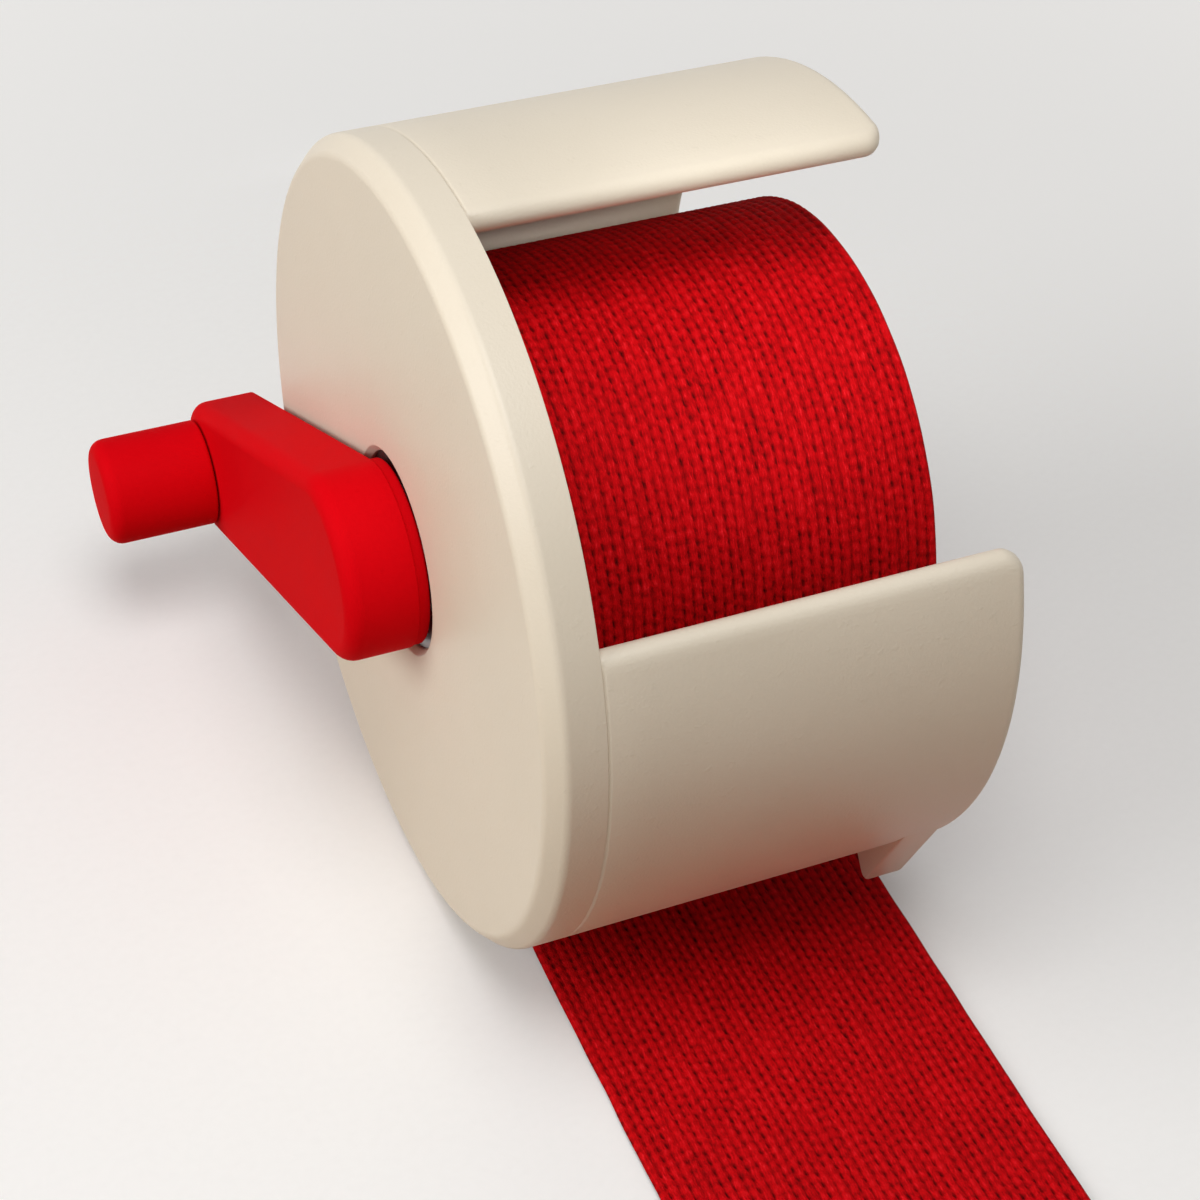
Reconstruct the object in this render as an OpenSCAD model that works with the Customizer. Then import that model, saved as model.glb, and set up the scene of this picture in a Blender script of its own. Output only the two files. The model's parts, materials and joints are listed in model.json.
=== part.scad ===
// Hand wrap roller: an open drum housing with a crank that winds a long cloth strip on a forked spindle.
// Millimetres. X runs along the spindle from the crank to the open end, Y away from the window, Z up.
// The origin is the middle of the small flat under the end disc, on which the roller rests.
// Angles round the spindle are measured from the back (+Y) over the top (90) to the front (180).

/* [Housing] */
// Radius of the end disc and of the drum shells
disc_r = 53; // [48:1:64]
// Thickness of the end disc
disc_t = 7.2; // [7.2:0.1:10]
// Bevel round the outer face of the end disc
face_bevel = 2.2; // [0.5:0.1:3]
// Depth of the flat that keeps the drum from rolling
flat_depth = 1; // [0.4:0.1:2]
// Wall of the two drum shells
shell_t = 3.6; // [2.4:0.1:4.6]
// Length of the drum shells beyond the end disc
shell_l = 54; // [53:1:70]
// Fine bevel that shows the seam between shell and disc
seam_bevel = 0.3; // [0.1:0.1:0.6]
// Bevel round the open end of the shells
end_ease = 1; // [0.4:0.1:1.1]
// Step of the round edges behind the wall's faces
edge_step = 0.2; // [0.1:0.05:0.4]
// Angle of the rear shell's edge above the window
window_top = 95; // [90:1:115]
// Angle of the front shell's edge below the window
window_low = 158; // [145:1:170]
// Angle of the front shell's edge above the tail slot
slot_front = 234; // [220:1:238]
// Angle of the rear shell's edge behind the tail slot
slot_rear = 266; // [262:1:270]

/* [Guide lug] */
// Width of the lug at the open end of the front shell
lug_w = 5.5; // [2:0.5:8]
// Angle where the lug leaves the shell
lug_from = 206; // [205:1:218]
// Angle where the lug ends
lug_to = 231; // [226:1:233]

/* [Shell screws] */
// Thickness of the screw ears inside the shells
ear_t = 3; // [2:0.5:4]
// Height of the screw ears, towards the spindle
ear_h = 9; // [8:0.5:10]
// Angle that each screw ear spans
ear_span = 18; // [16:1:24]
// Angle of the front shell's ears to either side of its middle
ear_turn = 18; // [15:1:20]
// Thread radius of the shell screws
screw_r = 1.5; // [1:0.1:1.6]
// Head radius of the shell screws
screw_head_r = 2.75; // [2.5:0.05:3.2]
// Head height of the shell screws
screw_head_h = 1.8; // [1.2:0.1:2.4]
// Outer radius of the threaded inserts in the disc
insert_r = 2.3; // [2.1:0.1:2.8]
// Length of the threaded inserts in the disc
insert_l = 4.2; // [3:0.1:5]

/* [Bearing] */
// Outer radius of the bearing
bearing_r = 13; // [12.6:0.1:15]
// Bore radius of the bearing
bearing_bore_r = 8.5; // [8.4:0.1:9]
// Width of the bearing
bearing_w = 5; // [4.4:0.1:5.2]
// Thickness of the bearing rings at their lands
ring_t = 1.4; // [1.1:0.1:1.6]
// Radius of the bearing balls
ball_r = 1.2; // [1:0.05:1.3]
// Number of bearing balls
ball_count = 14; // [8:1:15]
// Thickness of the bearing shields
shield_t = 0.25; // [0.2:0.05:0.4]
// Depth of the bearing below the disc face
bearing_depth = 1.2; // [0.8:0.1:1.4]
// Bevel at the mouth of the bearing seat
mouth_bevel = 0.8; // [0.2:0.1:1]

/* [Spindle] */
// Radius of the flange that the roll lies against
flange_r = 16; // [12:0.5:22]
// Thickness of that flange
flange_t = 1.4; // [1:0.1:2.4]
// Radius of each steel prong
prong_r = 2.2; // [1.6:0.1:2.3]
// Distance of the prongs from the spindle axis
prong_off = 5.4; // [5.2:0.1:5.8]
// How far the prongs are sunk in the hub
prong_sink = 4; // [2.5:0.1:4.2]
// How far the prongs stop short of the roll's outer end
prong_short = 1.4; // [0:0.1:6]

/* [Crank] */
// Distance from the spindle axis to the knob axis
crank_l = 62; // [45:1:90]
// Angle at which the crank stands
crank_angle = -25; // [-180:1:180]
// Radius of the crank at the spindle
crank_hub_r = 12.4; // [12:0.1:18]
// Radius of the crank at the knob
crank_end_r = 10; // [9:0.1:14]
// Thickness of the crank arm
crank_t = 9.4; // [6.4:0.1:12]
// Edge rounding of the crank arm
crank_round = 1.6; // [0.6:0.1:2.4]
// Gap between the crank arm and the disc face
crank_gap = 1; // [0.6:0.1:3]
// Radius of the round boss that meets the bearing
boss_r = 9.6; // [9.2:0.1:9.8]
// Clearance of the crank's collar from the bearing and its seat
collar_gap = 0.8; // [0.4:0.1:1.2]
// Side of the square drive
drive_w = 8; // [7:0.1:9]
// Length of the square drive inside the hub
drive_l = 3.2; // [2.6:0.1:3.6]
// Radius of the threaded insert in the square drive
drive_insert_r = 2.1; // [1.9:0.1:2.8]

/* [Knob] */
// Radius of the knob
knob_r = 7.8; // [6.5:0.1:9]
// Length of the knob
knob_l = 15.8; // [14:0.1:40]
// Edge rounding of the knob
knob_round = 1.5; // [0.4:0.1:3]
// Radius of the knob pin
pin_r = 3; // [2.6:0.1:3.4]
// How far the knob pin is pressed into the knob
pin_sink = 11; // [6:0.5:13]
// Wall of the bush in the crank arm
bush_t = 1.2; // [0.8:0.1:1.6]
// Thickness of the retaining clip
clip_t = 0.6; // [0.4:0.1:0.8]

/* [Wrap] */
// Width of the cloth strip
wrap_w = 50; // [40:1:52]
// Thickness of the cloth strip
wrap_t = 0.84; // [0.6:0.02:1.2]
// Outer radius of the roll
roll_r = 35.5; // [26:0.5:36]
// Turns of the outer strip that show on the roll
outer_turns = 1.6; // [1.1:0.1:3]
// Air between the loose outer turns
turn_gap = 0.5; // [0.45:0.05:0.8]
// Angle where the tail leaves the roll
leave_angle = 295; // [290:1:300]
// Radius of the bend where the tail reaches the ground
tail_bend_r = 20; // [8:1:26]
// Reach of the flat tail in front of the spindle axis
tail_reach = 112; // [90:1:200]

/* [Thumb loop] */
// Width of the loop's tape
tape_w = 9; // [5:0.5:12]
// Width over the whole loop
loop_w = 34; // [26:1:40]
// Length over the whole loop
loop_l = 60; // [45:1:80]
// Length of the sewn patch at the loop's root
patch_l = 16; // [8:1:20]
// Thickness of the sewn patch
patch_t = 0.7; // [0.4:0.1:1.2]

/* [Clearances] */
// Gap of pieces that are fixed in one another
fit_gap = 0.02; // [0.01:0.01:0.05]
// Radial gap of pieces that turn in one another
run_gap = 0.05; // [0.02:0.01:0.1]
// Gap between pieces that pass one another
pass_gap = 0.4; // [0.3:0.05:0.6]
// Gap of flat faces that turn past one another
face_gap = 0.2; // [0.1:0.05:0.3]
// Gap round a screw where it passes through a hole
screw_gap = 0.1; // [0.05:0.05:0.2]

/* [Hidden] */
$fn = 96;

cream = [0.90, 0.87, 0.80];
crank_red = [0.80, 0.07, 0.09];
cloth_red = [0.72, 0.02, 0.04];
steel = [0.66, 0.67, 0.69];
brass = [0.78, 0.63, 0.33];
bronze = [0.66, 0.47, 0.26];

axis_z = disc_r - flat_depth;
face_x = -(face_bevel + disc_t) / 2;
shell_in = disc_r - shell_t;
shell_mid = disc_r - shell_t / 2;
shell_end = disc_t + shell_l;
rear_ears = [60, -5, -65];
front_mid = (window_low + slot_front) / 2;
front_ears = [front_mid - ear_turn, front_mid + ear_turn];
ears = concat(rear_ears, front_ears);
ear_r = shell_in - ear_h / 2;
ear_relief = 0.1;
overcut = 1;
bed_gap = 0.2;
tip_gap = 0.4;
socket_r = screw_r * 0.75;
socket_depth = 1;

bearing_x = bearing_depth;
bearing_end = bearing_depth + bearing_w;
lip_r = bearing_r - ring_t;
pitch_r = (bearing_r + bearing_bore_r) / 2;
outer_land = bearing_r - ring_t;
inner_land = bearing_bore_r + ring_t;
ball_x = bearing_x + bearing_w / 2;
cage_t = (outer_land - inner_land) * 0.45;
cage_rim = 0.25;
cage_w = 2 * (ball_r + cage_rim);
shield_gap = 0.15;
shield_recess = 0.1;

journal_r = bearing_bore_r - fit_gap;
shoulder_gap = 0.3;
shoulder_r = inner_land - shoulder_gap;
flange_x = disc_t + pass_gap;
flange_end = flange_x + flange_t;
roll_x = flange_end + face_gap;
roll_end = roll_x + wrap_w;
crank_head_h = 2;

arm_back = -crank_gap;
arm_face = -crank_gap - crank_t;
collar_r = bearing_r - collar_gap;
collar_end = bearing_x - collar_gap;
clip_room = 1;
clip_pocket = clip_t + clip_room;
clip_w = 1.8;
clip_r = pin_r + clip_w;
clip_mouth = 1.4 * pin_r;
clip_rest = 0.1;
pocket_gap = 0.3;
groove_depth = 0.6;
bush_r = pin_r + run_gap + bush_t;
knob_x = arm_face - face_gap;
knob_end = knob_x - knob_l;

bore_r = prong_off + prong_r + pass_gap;
turn_pitch = wrap_t + turn_gap;
core_gap = 0.3;
core_r = roll_r - turn_pitch * outer_turns - wrap_t - core_gap;
loop_steps = 48;

// Put children, drawn along Z, on the spindle axis at a distance x from the disc face
module on_axis(x = 0) {
    translate([face_x + x, 0, axis_z]) rotate([0, 90, 0]) children();
}

// Put children on the spindle axis, turned so that their first axis points to an angle round the spindle
module at_angle(angle, x = 0) {
    on_axis(x) rotate([0, 0, angle + 90]) children();
}

// Full turn of a profile whose first axis is the radius and second the distance along the spindle
module turned(x = 0) {
    on_axis(x) rotate_extrude() children();
}

// Part of a turn of such a profile
module turned_part(from, to, x = 0) {
    at_angle(from, x) rotate_extrude(angle = to - from) children();
}

// Tube drawn along Z
module tube(outer, inner, length) {
    difference() {
        cylinder(r = outer, h = length);
        translate([0, 0, -overcut]) cylinder(r = inner, h = length + 2 * overcut);
    }
}

// Everything below the ground, to cut the resting flats
module ground() {
    size = 6 * disc_r;
    translate([-size / 2, -size / 2, -size]) cube([size, size, size]);
}

// One place for the knob axis
module at_knob(x) {
    at_angle(crank_angle, x) translate([crank_l, 0, 0]) children();
}

module end_disc() {
    color(cream) difference() {
        turned() difference() {
            polygon([
                [0, 0], [disc_r - face_bevel, 0], [disc_r, face_bevel],
                [disc_r, disc_t - seam_bevel], [disc_r - seam_bevel, disc_t], [0, disc_t]
            ]);
            square([lip_r, disc_t]);
            square([bearing_r + fit_gap, bearing_end]);
            polygon([
                [0, 0], [bearing_r + fit_gap + mouth_bevel, 0],
                [bearing_r + fit_gap, mouth_bevel], [0, mouth_bevel]
            ]);
        }
        for (a = ears)
            at_angle(a, disc_t - insert_l - bed_gap)
                translate([ear_r, 0, 0]) cylinder(r = insert_r + fit_gap, h = insert_l + bed_gap + overcut);
        ground();
    }
}

// Wall profile of a shell with a fine seam bevel at the disc and an eased far end
module shell_profile() {
    polygon([
        [shell_in, disc_t], [disc_r - seam_bevel, disc_t], [disc_r, disc_t + seam_bevel],
        [disc_r, shell_end - end_ease], [disc_r - end_ease, shell_end],
        [shell_in + end_ease, shell_end], [shell_in, shell_end - end_ease]
    ]);
}

// Round edge of a shell, along the spindle, a little thinner than the wall
module shell_edge(angle) {
    at_angle(angle, disc_t + seam_bevel) translate([shell_mid, 0, 0])
        cylinder(r = shell_t / 2 - edge_step, h = shell_l - seam_bevel - end_ease);
}

// Screw ear inside a shell
module ear(angle) {
    turned_part(angle - ear_span / 2, angle + ear_span / 2)
        translate([shell_in - ear_h, disc_t + ear_relief]) square([ear_h + shell_t / 2, ear_t - ear_relief]);
}

module shell(from, to, ear_angles) {
    difference() {
        union() {
            turned_part(from, to) shell_profile();
            shell_edge(from);
            shell_edge(to);
            for (a = ear_angles) ear(a);
        }
        for (a = ear_angles)
            at_angle(a, disc_t - overcut)
                translate([ear_r, 0, 0]) cylinder(r = screw_r + screw_gap, h = ear_t + 2 * overcut);
        ground();
    }
}

module rear_shell() {
    color(cream) shell(slot_rear - 360, window_top, rear_ears);
}

// The lug starts just under the drum's surface, runs out on a straight line and ends square to the drum
lug_turn = lug_to - lug_from;
lug_root = disc_r - shell_t / 8;
lug_tip = disc_r / cos(lug_turn);

module guide_lug() {
    at_angle(lug_from, shell_end - 2 * end_ease - lug_w)
        linear_extrude(height = lug_w) polygon([
            [shell_mid, 0], [lug_root, 0],
            lug_tip * [cos(lug_turn), sin(lug_turn)],
            shell_mid * [cos(lug_turn), sin(lug_turn)]
        ]);
}

module front_shell() {
    color(cream) {
        shell(window_low, slot_front, front_ears);
        guide_lug();
    }
}

module shell_screws() {
    color(steel) for (a = ears)
        at_angle(a, disc_t - insert_l + tip_gap) translate([ear_r, 0, 0]) difference() {
            union() {
                cylinder(r = screw_r, h = insert_l - tip_gap + ear_t + overcut);
                translate([0, 0, insert_l - tip_gap + ear_t]) cylinder(r = screw_head_r, h = screw_head_h);
            }
            translate([0, 0, insert_l - tip_gap + ear_t + screw_head_h - socket_depth])
                cylinder(r = socket_r, h = socket_depth + overcut, $fn = 6);
        }
}

module disc_inserts() {
    color(brass) for (a = ears)
        at_angle(a, disc_t - insert_l) translate([ear_r, 0, 0]) tube(insert_r, screw_r + fit_gap, insert_l);
}

// Half section of a bearing ring with its ball groove
module ring_section(inner, outer) {
    difference() {
        translate([inner, bearing_x]) square([outer - inner, bearing_w]);
        translate([pitch_r, ball_x]) circle(r = ball_r + run_gap);
    }
}

module bearing_outer_ring() {
    color(steel) turned() ring_section(outer_land, bearing_r);
}

module bearing_inner_ring() {
    color(steel) turned() ring_section(bearing_bore_r, inner_land);
}

module bearing_balls() {
    color(steel) for (i = [0 : ball_count - 1])
        at_angle(i * 360 / ball_count, ball_x) translate([pitch_r, 0, 0]) sphere(r = ball_r, $fn = 32);
}

module bearing_cage() {
    color(bronze) difference() {
        on_axis(ball_x - cage_w / 2) tube(pitch_r + cage_t / 2, pitch_r - cage_t / 2, cage_w);
        for (i = [0 : ball_count - 1])
            at_angle(i * 360 / ball_count, ball_x)
                translate([pitch_r - cage_t, 0, 0])
                    rotate([0, 90, 0]) cylinder(r = ball_r + run_gap, h = 2 * cage_t);
    }
}

module shield(x) {
    on_axis(x) tube(outer_land - fit_gap, inner_land + shield_gap, shield_t);
}

module bearing_shield_outer() {
    color(steel) shield(bearing_x + shield_recess);
}

module bearing_shield_inner() {
    color(steel) shield(bearing_end - shield_t - shield_recess);
}

module spindle_hub() {
    color(crank_red) difference() {
        turned() polygon([
            [0, bearing_x], [journal_r, bearing_x], [journal_r, bearing_end],
            [shoulder_r, bearing_end], [shoulder_r, flange_x], [flange_r, flange_x],
            [flange_r, flange_end], [0, flange_end]
        ]);
        at_angle(crank_angle, bearing_x - overcut)
            translate([-drive_w / 2 - fit_gap, -drive_w / 2 - fit_gap, 0])
                cube([drive_w + 2 * fit_gap, drive_w + 2 * fit_gap, drive_l + fit_gap + overcut]);
        on_axis(bearing_x) cylinder(r = screw_r + screw_gap, h = flange_end);
        on_axis(flange_end - crank_head_h)
            cylinder(r = screw_head_r + screw_gap, h = crank_head_h + overcut);
        for (side = [0, 180])
            at_angle(crank_angle + 90 + side, flange_end - prong_sink)
                translate([prong_off, 0, 0]) cylinder(r = prong_r + fit_gap, h = prong_sink + overcut);
    }
}

// Steel prong with a round tip, pressed into the hub
module prong(side) {
    length = prong_sink + roll_end - prong_short - flange_end;
    at_angle(crank_angle + 90 + side, flange_end - prong_sink) translate([prong_off, 0, 0]) {
        cylinder(r = prong_r, h = length - prong_r);
        translate([0, 0, length - prong_r]) sphere(r = prong_r);
    }
}

module prong_upper() {
    color(steel) prong(0);
}

module prong_lower() {
    color(steel) prong(180);
}

// Round plate with round edges, from Z = 0 upwards
module soft_plate(r, t, edge) {
    rotate_extrude($fn = 48) {
        square([r - edge, t]);
        translate([0, edge]) square([r, t - 2 * edge]);
        for (z = [edge, t - edge]) translate([r - edge, z]) circle(r = edge, $fn = 24);
    }
}

module crank_arm() {
    color(crank_red) difference() {
        union() {
            hull() {
                on_axis(arm_face) soft_plate(crank_hub_r, crank_t, crank_round);
                at_knob(arm_face) soft_plate(crank_end_r, crank_t, crank_round);
            }
            on_axis(arm_back - crank_round) cylinder(r = collar_r, h = crank_gap + crank_round + collar_end);
            on_axis(arm_back - crank_round) cylinder(r = boss_r, h = crank_gap + crank_round + bearing_x);
            at_angle(crank_angle, 0)
                translate([-drive_w / 2, -drive_w / 2, 0]) cube([drive_w, drive_w, bearing_x + drive_l]);
        }
        on_axis(bearing_x + drive_l - insert_l)
            cylinder(r = drive_insert_r + fit_gap, h = insert_l + overcut);
        at_knob(arm_face - overcut) cylinder(r = bush_r + fit_gap, h = crank_t + 2 * overcut);
        at_knob(arm_back - clip_pocket) cylinder(r = clip_r + pocket_gap, h = clip_pocket + overcut);
    }
}

module crank_insert() {
    color(brass) on_axis(bearing_x + drive_l - insert_l) tube(drive_insert_r, screw_r + fit_gap, insert_l);
}

module crank_screw() {
    start = bearing_x + drive_l - insert_l + tip_gap;
    color(steel) difference() {
        union() {
            on_axis(start) cylinder(r = screw_r, h = flange_end - crank_head_h - start + overcut);
            on_axis(flange_end - crank_head_h) cylinder(r = screw_head_r, h = crank_head_h);
        }
        on_axis(flange_end - socket_depth) cylinder(r = socket_r, h = socket_depth + overcut, $fn = 6);
    }
}

module knob_bush() {
    color(bronze) at_knob(arm_face) tube(bush_r, pin_r + run_gap, crank_t - clip_pocket);
}

module crank_knob() {
    color(crank_red) difference() {
        at_knob(knob_end) rotate_extrude() {
            translate([0, knob_round]) square([knob_r, knob_l - knob_round]);
            square([knob_r - knob_round, knob_l]);
            translate([knob_r - knob_round, knob_round]) circle(r = knob_round);
        }
        at_knob(knob_x - pin_sink) cylinder(r = pin_r + fit_gap, h = pin_sink + overcut);
    }
}

module knob_pin() {
    color(steel) difference() {
        at_knob(knob_x - pin_sink) cylinder(r = pin_r, h = pin_sink + arm_back - clip_t / 2 - knob_x);
        at_knob(arm_back - clip_pocket + clip_rest)
            tube(pin_r + overcut, pin_r - groove_depth, clip_t + clip_rest);
    }
}

module knob_clip() {
    color(steel) at_knob(arm_back - clip_pocket + clip_rest) difference() {
        tube(clip_r, pin_r - groove_depth + fit_gap, clip_t);
        translate([0, -clip_mouth / 2, -overcut]) cube([clip_r + overcut, clip_mouth, clip_t + 2 * overcut]);
    }
}

module wrap_core() {
    color(cloth_red) on_axis(roll_x) tube(core_r, bore_r, wrap_w);
}

// The strip spirals inwards from the place where the tail leaves it
function strip_r(turn) = roll_r - turn_pitch * turn;
strip_count = ceil(loop_steps * outer_turns);
function strip_point(i, depth) =
    let (turn = min(i / loop_steps, outer_turns), a = 360 * turn)
    (strip_r(turn) - depth) * [cos(a), sin(a)];
strip_out = [for (i = [0 : strip_count]) strip_point(i, 0)];
strip_in = [for (i = [0 : strip_count]) strip_point(i, wrap_t)];
strip_gap = min([
    for (i = [0 : strip_count]) for (j = [i + loop_steps / 2 : strip_count]) norm(strip_in[i] - strip_out[j])
]);
echo(str("Least gap of the wound strip to itself: ", strip_gap, " mm"));

module wrap_outer_turn() {
    color(cloth_red) at_angle(leave_angle, roll_x) linear_extrude(height = wrap_w)
        polygon(concat(strip_out, [for (i = [strip_count : -1 : 0]) strip_in[i]]));
}

module wrap_inner_end() {
    reach = bore_r - pass_gap / 4;
    color(cloth_red) at_angle(crank_angle, roll_x)
        translate([-reach, -wrap_t / 2, 0]) cube([2 * reach, wrap_t, wrap_w]);
}

// Path of the tail in the plane across the spindle: tangent line, bend and flat run on the ground
leave_r = roll_r + pass_gap + wrap_t / 2;
leave_point = [leave_r * cos(leave_angle), axis_z + leave_r * sin(leave_angle)];
slope = leave_angle - 270;
tail_mid_z = wrap_t / 2;
corner_y = leave_point[0] - (leave_point[1] - tail_mid_z) / tan(slope);
bend_cut = tail_bend_r * tan(slope / 2);
bend_mid = [corner_y - bend_cut, tail_mid_z + tail_bend_r];
bend_steps = 8;
tail_path = concat(
    [leave_point],
    [for (i = [0 : bend_steps]) let (a = slope * (1 - i / bend_steps))
        bend_mid + tail_bend_r * [sin(a), -cos(a)]],
    [[-tail_reach, tail_mid_z]]
);
tail_dirs = concat([slope], [for (i = [0 : bend_steps]) slope * (1 - i / bend_steps)], [0]);
function tail_side(i, depth) = tail_path[i] + depth * [-sin(tail_dirs[i]), cos(tail_dirs[i])];
tail_last = len(tail_path) - 1;

// Put a shape drawn across the spindle along the width of the cloth
module across(x, length) {
    translate([face_x + x, 0, 0]) rotate([90, 0, 90]) linear_extrude(height = length) children();
}

module wrap_tail() {
    color(cloth_red) across(roll_x, wrap_w) polygon(concat(
        [for (i = [0 : tail_last]) tail_side(i, wrap_t / 2)],
        [for (i = [tail_last : -1 : 0]) tail_side(i, -wrap_t / 2)]
    ));
}

// Flat ring of tape with round ends, from Y = 0 towards the front
module loop_outline(width, length) {
    translate([-width / 2, -length + width / 2]) square([width, length - width]);
    for (y = [-width / 2, -length + width / 2]) translate([0, y]) circle(r = width / 2);
}

loop_x = face_x + roll_x + wrap_w / 2;

module thumb_loop() {
    root = loop_w / 2;
    color(cloth_red) translate([loop_x, root - tail_reach, 0]) linear_extrude(height = wrap_t) difference() {
        loop_outline(loop_w, loop_l + root);
        translate([0, -tape_w]) loop_outline(loop_w - 2 * tape_w, loop_l + root - 2 * tape_w);
        translate([-loop_w, -root]) square([2 * loop_w, 2 * root]);
    }
}

module loop_patch() {
    color(cloth_red) translate([loop_x - loop_w / 2, -tail_reach - patch_l / 2, wrap_t])
        cube([loop_w, patch_l, patch_t]);
}

end_disc();
rear_shell();
front_shell();
shell_screws();
disc_inserts();
bearing_outer_ring();
bearing_inner_ring();
bearing_balls();
bearing_cage();
bearing_shield_outer();
bearing_shield_inner();
spindle_hub();
prong_upper();
prong_lower();
crank_arm();
crank_insert();
crank_screw();
knob_bush();
crank_knob();
knob_pin();
knob_clip();
wrap_core();
wrap_outer_turn();
wrap_inner_end();
wrap_tail();
thumb_loop();
loop_patch();
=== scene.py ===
# %% [markdown]
# # A hand wrap roller
#
# The real object is a cream plastic drum, open at one end and at the front, in which a red crank winds
# a boxer's long hand wrap into a tight roll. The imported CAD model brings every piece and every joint.
# This lesson keeps them and makes the surfaces that the eye sees: moulded plastic with soft edges,
# bare metal in the bearing, and a ribbed cotton strip that is wound some thirty times round a fork.

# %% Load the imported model
import json
import math
import random

import bmesh
import bpy
from mathutils import Matrix, Vector, noise


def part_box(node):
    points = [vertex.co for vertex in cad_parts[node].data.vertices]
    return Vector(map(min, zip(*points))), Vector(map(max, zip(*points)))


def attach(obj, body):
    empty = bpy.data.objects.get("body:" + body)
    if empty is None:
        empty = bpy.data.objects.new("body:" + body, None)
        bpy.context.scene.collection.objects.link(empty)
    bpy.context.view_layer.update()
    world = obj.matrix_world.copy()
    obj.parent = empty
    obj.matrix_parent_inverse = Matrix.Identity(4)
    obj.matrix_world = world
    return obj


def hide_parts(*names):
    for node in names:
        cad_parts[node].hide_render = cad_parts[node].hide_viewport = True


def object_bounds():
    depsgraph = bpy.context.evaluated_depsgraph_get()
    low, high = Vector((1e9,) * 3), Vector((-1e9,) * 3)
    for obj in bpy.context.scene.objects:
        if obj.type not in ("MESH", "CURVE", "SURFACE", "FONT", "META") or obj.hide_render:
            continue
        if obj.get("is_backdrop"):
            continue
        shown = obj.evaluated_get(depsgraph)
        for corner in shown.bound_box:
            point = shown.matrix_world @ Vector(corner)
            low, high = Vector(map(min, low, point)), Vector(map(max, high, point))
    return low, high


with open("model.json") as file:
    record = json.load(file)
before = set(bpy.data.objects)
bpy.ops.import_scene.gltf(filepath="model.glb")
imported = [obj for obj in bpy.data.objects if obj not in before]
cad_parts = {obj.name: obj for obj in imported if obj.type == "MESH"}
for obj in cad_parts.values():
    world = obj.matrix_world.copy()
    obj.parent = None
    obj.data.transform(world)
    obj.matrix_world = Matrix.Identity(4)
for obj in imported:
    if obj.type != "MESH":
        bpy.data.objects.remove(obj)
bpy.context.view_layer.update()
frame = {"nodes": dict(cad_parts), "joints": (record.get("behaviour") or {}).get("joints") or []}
scene = bpy.context.scene

# %% [markdown]
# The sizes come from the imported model, so that this script follows it. What it can't tell, such as
# where a shell's edge lies round the spindle, is written once where it is needed, as the CAD source
# has it.
# Angles run round the spindle from the back (0) over the top (90) to the front (180).

# %% Sizes of the drum, the crank and the wrap
MM = 0.001
joint_at = {j["name"]: Vector(j["pos_m"]) for j in frame["joints"] if "pos_m" in j}
axis_z = joint_at["crank_spin"].z
knob_y, knob_z = joint_at["knob_spin"].yz
face_x, back_x = (corner.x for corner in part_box("end_disc"))
disc_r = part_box("end_disc")[1].y
shell_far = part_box("rear_shell")[1].x
shell_t = 3.6 * MM
shell_in = disc_r - shell_t
shell_mid = disc_r - shell_t / 2
arm_front, knob_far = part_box("crank_arm")[0].x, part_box("crank_knob")[0].x
roll_x, roll_far = (corner.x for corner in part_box("wrap_core"))
core_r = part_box("wrap_core")[1].y
bore_r = 8 * MM
roll_r = 35.5 * MM
wrap_t, wrap_w = 0.84 * MM, roll_far - roll_x
rib_count = 38
rib_pitch = wrap_w / rib_count
leave_angle = 295
print(f"disc radius {disc_r / MM:.1f} mm, roll radius {roll_r / MM:.1f} mm, {rib_count} ribs")


def ring_point(angle, radius, x):
    """Point at an angle round the spindle, never below the ground that the roller rests on."""
    turn = math.radians(angle)
    return Vector((x, radius * math.cos(turn), max(axis_z + radius * math.sin(turn), 0)))


# %% [markdown]
# The camera comes first, because everything is judged through it. It looks down on the crank side
# from the front left, from close by, so the near disc looks larger than the far end of the drum. It is
# held a little askew, as the photograph was: its right side is turned up by three degrees.

# %% Camera
camera_at = Vector((-0.0859, -0.2408, 0.2674))
yaw, pitch, askew = math.radians(24.6), math.radians(41.28), math.radians(2.96)
ahead = Vector((math.sin(yaw), math.cos(yaw), 0))
view_line = ahead * math.cos(pitch) - Vector((0, 0, math.sin(pitch)))
camera = bpy.data.objects.new("camera", bpy.data.cameras.new("camera"))
aim = view_line.to_track_quat("-Z", "Y").to_matrix() @ Matrix.Rotation(askew, 3, "Z")
camera.matrix_world = Matrix.Translation(camera_at) @ aim.to_4x4()
camera.data.lens = 78
camera.data.clip_start = 0.01
scene.collection.objects.link(camera)
scene.camera = camera
print("camera at", [round(c, 3) for c in camera_at], "m, lens", camera.data.lens, "mm")

# %% [markdown]
# A studio for a small product is a pale sheet and soft lamps. One hangs close above, so that its light
# falls off from the drum's top to the tail. A larger one fills from the left, and a weak one with
# a narrow beam looks in through the window, because the drum's top would leave the roll in the shade.

# %% Lamps and background
scene.view_settings.view_transform = "Standard"


def soft_lamp(name, place, size, watts, target=(0.02, 0, 0.04), spread=180):
    lamp = bpy.data.objects.new(name, bpy.data.lights.new(name, "AREA"))
    lamp.data.shape = "DISK"
    lamp.data.size = size
    lamp.data.energy = watts
    lamp.data.spread = math.radians(spread)
    lamp.location = place
    lamp.rotation_euler = (Vector(target) - Vector(place)).to_track_quat("-Z", "Y").to_euler()
    scene.collection.objects.link(lamp)


soft_lamp("lamp_above", (-0.05, -0.13, 0.48), 0.26, 1.03)
soft_lamp("lamp_left", (-0.80, 0.02, 0.42), 0.6, 4.0)
soft_lamp("lamp_on_roll", (0.03, -0.42, 0.38), 0.05, 0.0027, (0.036, -0.007, 0.083), 4)
print("three lamps")

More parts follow.
